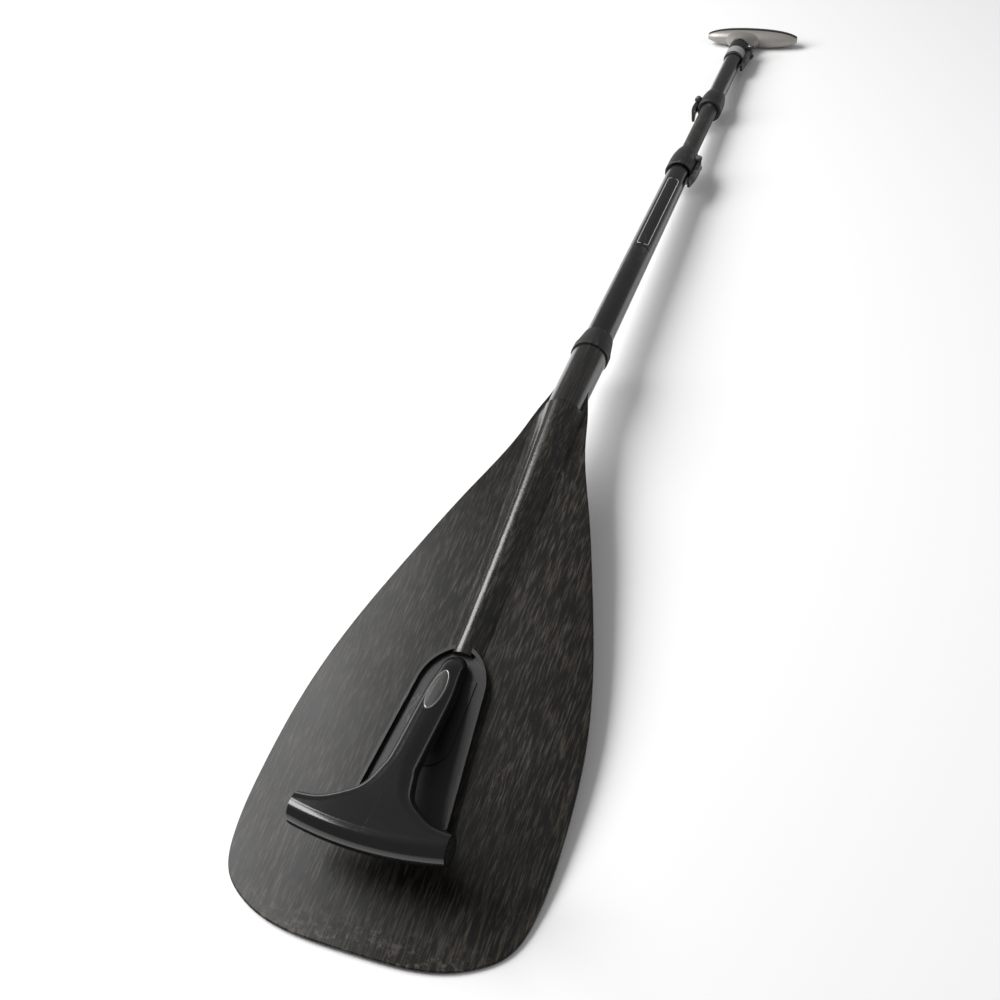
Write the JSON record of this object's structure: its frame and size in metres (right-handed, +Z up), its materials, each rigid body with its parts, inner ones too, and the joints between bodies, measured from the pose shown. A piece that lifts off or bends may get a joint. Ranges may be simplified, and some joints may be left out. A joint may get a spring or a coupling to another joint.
{
  "type": "adjustable single blade paddle",
  "caption": "Single blade paddle with a sliding shaft, cam-lever clamps, a turning T-handle and a second T-grip on the blade face.",
  "frame": {"origin": "middle of the paddle's footprint, on the floor it rests on", "axes": "+Y along the paddle from the blade to the T-handle, +X to the right of the blade, +Z up out of the blade face that carries the grip"},
  "size_m": [0.2486, 1.37, 0.0679],
  "materials": {
    "blade_veneer": "charcoal-stained wood grain under satin lacquer",
    "neck_gloss": "gloss resin over dark grain",
    "ferrule": "bonded composite sleeve",
    "clamp_plastic": "moulded, fine matte texture",
    "shaft_gloss": "satin-gloss wound composite tube",
    "shaft_matte": "matte ground composite tube",
    "label": "plain sticker with a pale outline",
    "bush": "slippery bearing plastic",
    "band": "light grey ring",
    "stem": "dark tube",
    "handle_light": "satin silver-grey shell",
    "handle_dark": "dark palm shell",
    "grip_base": "satin moulded base",
    "grip_gloss": "gloss black moulding",
    "grip_cap": "gloss black end cap",
    "badge": "plain silver oval plate",
    "fixing": "stainless steel"
  },
  "bodies": {
    "blade_section": {"blade": "blade_veneer", "blade_neck": "neck_gloss", "blade_ferrule": "ferrule", "throat_collar": "clamp_plastic", "lower_shaft": "shaft_gloss", "shaft_label": "label", "lower_guide_bush": "bush", "grip_base": "grip_base", "grip_lower_shell": "grip_gloss", "grip_upper_shell": "grip_gloss", "grip_end_caps": "grip_cap", "grip_badge": "badge", "lower_clamp_body": "clamp_plastic", "lower_clamp_shoe": "bush", "lower_clamp_bolt": "fixing", "lower_clamp_nut": "fixing"},
    "lower_lever": {"lower_clamp_lever": "clamp_plastic"},
    "middle_section": {"middle_shaft": "shaft_matte", "middle_foot_bush": "bush"},
    "upper_section": {"upper_shaft": "shaft_gloss", "middle_clamp_body": "clamp_plastic", "middle_clamp_shoe": "bush", "middle_clamp_bolt": "fixing", "middle_clamp_nut": "fixing", "top_clamp_body": "clamp_plastic", "top_clamp_band": "band", "top_clamp_shoe": "bush", "top_clamp_bolt": "fixing", "top_clamp_nut": "fixing"},
    "middle_lever": {"middle_clamp_lever": "clamp_plastic"},
    "top_lever": {"top_clamp_lever": "clamp_plastic"},
    "t_handle": {"handle_stem": "stem", "handle_finger_shell": "handle_light", "handle_palm_shell": "handle_dark"}
  },
  "joints": [
    {"name": "middle_slide", "type": "slide", "parent": "blade_section", "child": "middle_section", "axis": [0, 0.999, -0.0452], "range_m": [-0.065, 0.15]},
    {"name": "upper_slide", "type": "slide", "parent": "middle_section", "child": "upper_section", "axis": [0, 0.999, -0.0452], "range_m": [-0.02, 0.05]},
    {"name": "handle_turn", "type": "hinge", "parent": "upper_section", "child": "t_handle", "pos_m": [0, 0.63709, 0.01359], "axis": [0, 0.999, -0.0452], "range_deg": [-90, 90]},
    {"name": "lower_lever_hinge", "type": "hinge", "parent": "blade_section", "child": "lower_lever", "pos_m": [0.0169, 0.31442, 0.02818], "axis": [0, 0.0452, 0.999], "range_deg": [0, 100]},
    {"name": "middle_lever_hinge", "type": "hinge", "parent": "upper_section", "child": "middle_lever", "pos_m": [-0.0169, 0.46326, 0.02145], "axis": [0, -0.0452, -0.999], "range_deg": [0, 100]},
    {"name": "top_lever_hinge", "type": "hinge", "parent": "upper_section", "child": "top_lever", "pos_m": [0.0169, 0.6251, 0.01413], "axis": [0, 0.0452, 0.999], "range_deg": [0, 100]}
  ]
}
